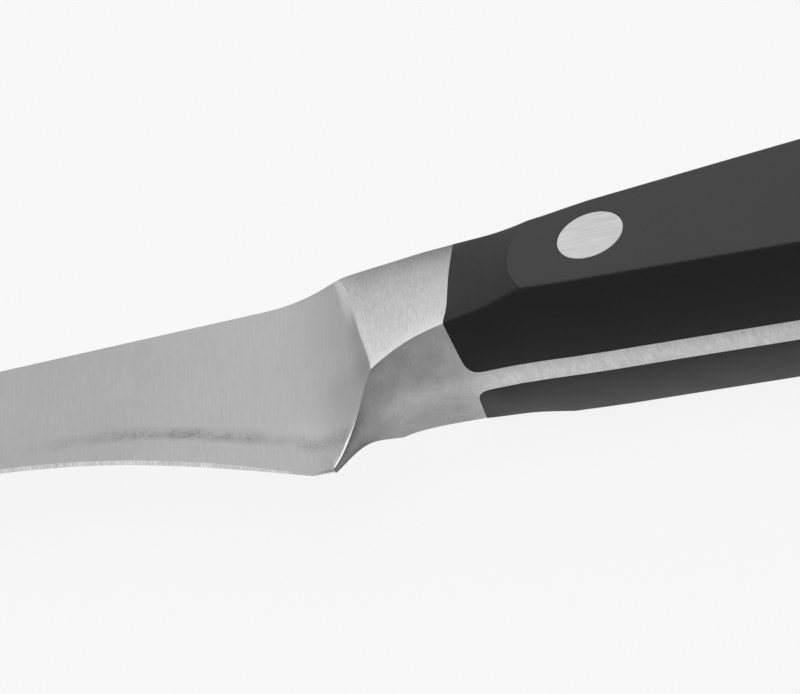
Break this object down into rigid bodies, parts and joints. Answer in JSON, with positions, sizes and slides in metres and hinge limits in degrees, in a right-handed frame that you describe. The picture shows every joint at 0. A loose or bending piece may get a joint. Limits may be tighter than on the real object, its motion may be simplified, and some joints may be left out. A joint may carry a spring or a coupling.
{
  "type": "ham knife",
  "caption": "Long narrow slicing knife with a forged bolster and finger guard, full tang, riveted dark polymer handle scales and a slender point",
  "frame": {"origin": "under the middle of the outline, on the plane the knife lies on", "axes": "+X from the bolster to the butt, +Y from the cutting edge to the spine, +Z out of the left side; the knife lies on its right side flat"},
  "size_m": [0.3772, 0.0304, 0.0173],
  "materials": {
    "forged_steel": "satin, finely ground across the blade and the bolster",
    "polymer": "smooth, slightly satin, near black",
    "rivet_steel": "ground flush with the scales"
  },
  "bodies": {
    "root": {"blade_forging": "forged_steel", "left_scale": "polymer", "right_scale": "polymer", "rivet_post_1": "rivet_steel", "rivet_sleeve_1": "rivet_steel", "rivet_post_2": "rivet_steel", "rivet_sleeve_2": "rivet_steel", "rivet_post_3": "rivet_steel", "rivet_sleeve_3": "rivet_steel"}
  },
  "joints": []
}
